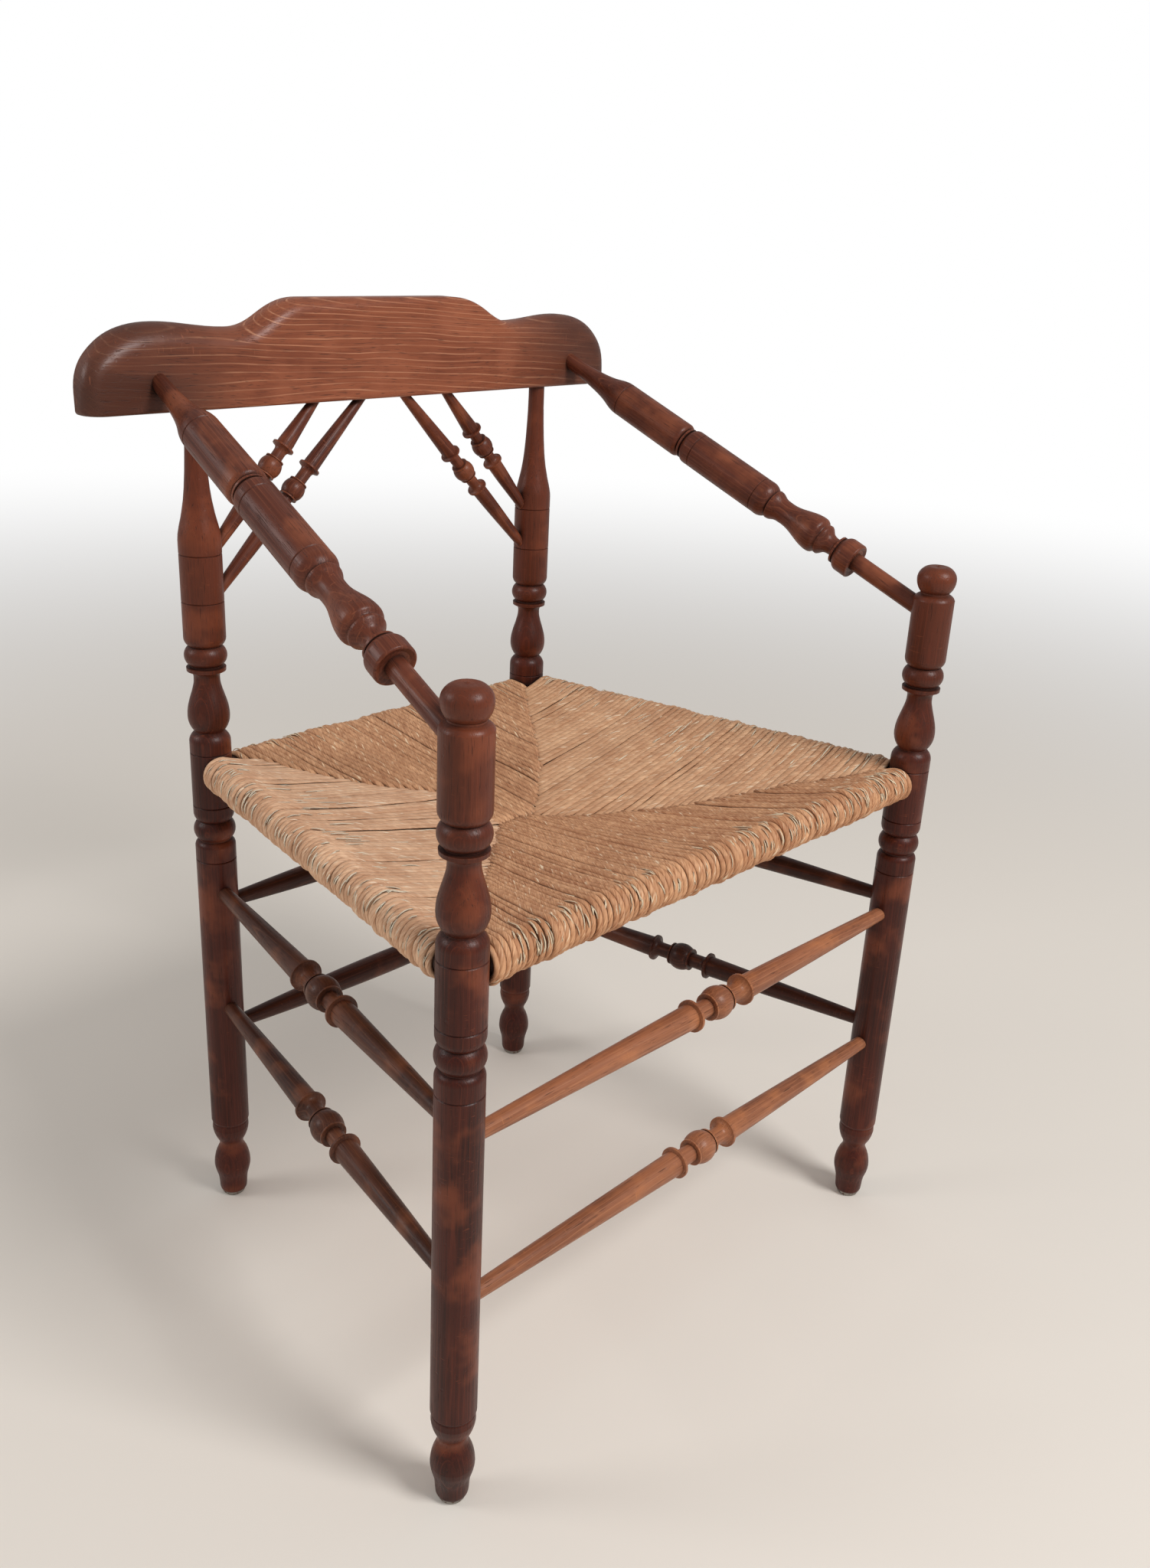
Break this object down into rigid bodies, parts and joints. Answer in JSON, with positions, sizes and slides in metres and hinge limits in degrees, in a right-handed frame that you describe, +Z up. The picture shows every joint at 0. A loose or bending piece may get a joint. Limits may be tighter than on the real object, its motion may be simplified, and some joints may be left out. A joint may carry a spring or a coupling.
{
  "type": "corner chair",
  "caption": "Low-backed turned wooden armchair with a carved plank crest rail, sloping turned arms, slanting back spindles, turned stretchers and a dished rush seat.",
  "frame": {"origin": "on the floor, in the middle between the four posts", "axes": "+Z up; the front faces -Y, the crest rail is at +Y; +X is towards the right as one looks from the front to the back"},
  "size_m": [0.5648, 0.4487, 0.8301],
  "materials": {
    "stained_wood": "dark reddish-brown stain, worn satin varnish",
    "raw_wood": "bare, hidden in the rush",
    "rush": "twisted natural rush, dry and slightly glossy",
    "glide": "dull pressed steel"
  },
  "bodies": {
    "root": {"post_front_left": "stained_wood", "post_front_right": "stained_wood", "post_back_left": "stained_wood", "post_back_right": "stained_wood", "crest_rail": "stained_wood", "arm_left": "stained_wood", "arm_right": "stained_wood", "spindle_left_outer": "stained_wood", "spindle_left_inner": "stained_wood", "spindle_right_outer": "stained_wood", "spindle_right_inner": "stained_wood", "stretcher_front_low": "stained_wood", "stretcher_front_high": "stained_wood", "stretcher_back_low": "stained_wood", "stretcher_back_high": "stained_wood", "stretcher_left_low": "stained_wood", "stretcher_left_high": "stained_wood", "stretcher_right_low": "stained_wood", "stretcher_right_high": "stained_wood", "seat_rail_front": "raw_wood", "seat_rail_back": "raw_wood", "seat_rail_left": "raw_wood", "seat_rail_right": "raw_wood", "rush_front": "rush", "rush_back": "rush", "rush_left": "rush", "rush_right": "rush", "glide_front_left": "glide", "glide_front_right": "glide", "glide_back_left": "glide", "glide_back_right": "glide"}
  },
  "joints": []
}
